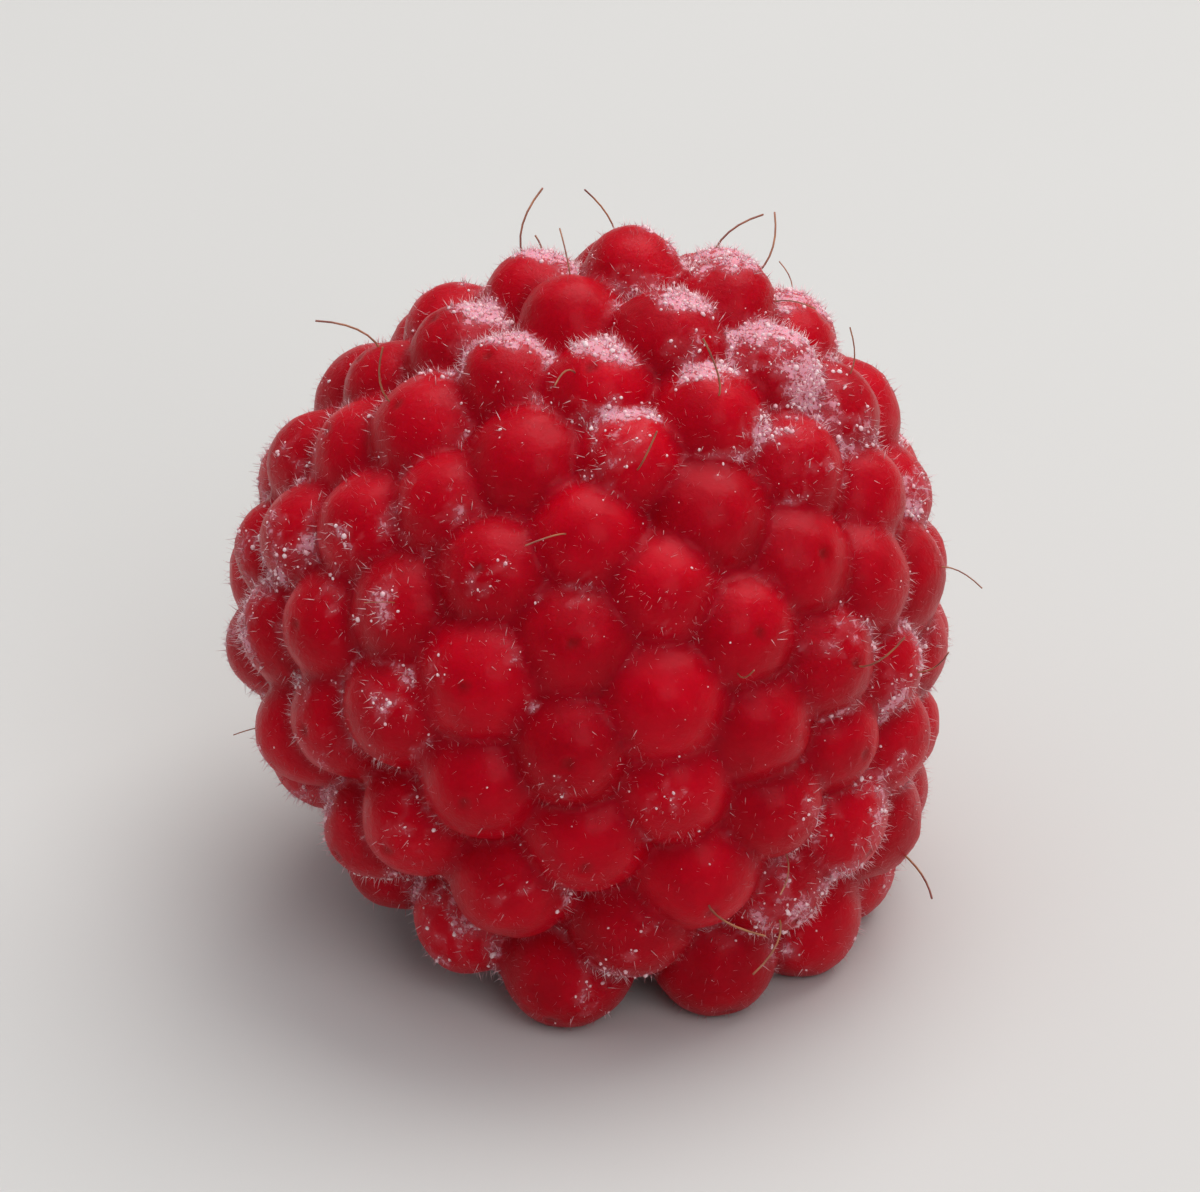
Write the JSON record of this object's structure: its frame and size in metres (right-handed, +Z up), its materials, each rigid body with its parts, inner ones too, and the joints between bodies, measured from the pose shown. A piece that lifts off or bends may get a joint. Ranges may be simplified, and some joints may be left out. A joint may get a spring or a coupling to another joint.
{
  "type": "raspberry",
  "caption": "One frosted red raspberry, picked, standing on the open mouth of its hollow with its tip leaning a little to one side.",
  "frame": {"origin": "on the surface that the berry stands on, under the middle of its bounding box", "axes": "+Z up from the mouth to the tip, +X the way that the tip leans, -Y towards the viewer"},
  "size_m": [0.0198, 0.0202, 0.0196],
  "materials": {
    "berry_skin": null
  },
  "bodies": {
    "root": {"raspberry": "berry_skin"}
  },
  "joints": []
}
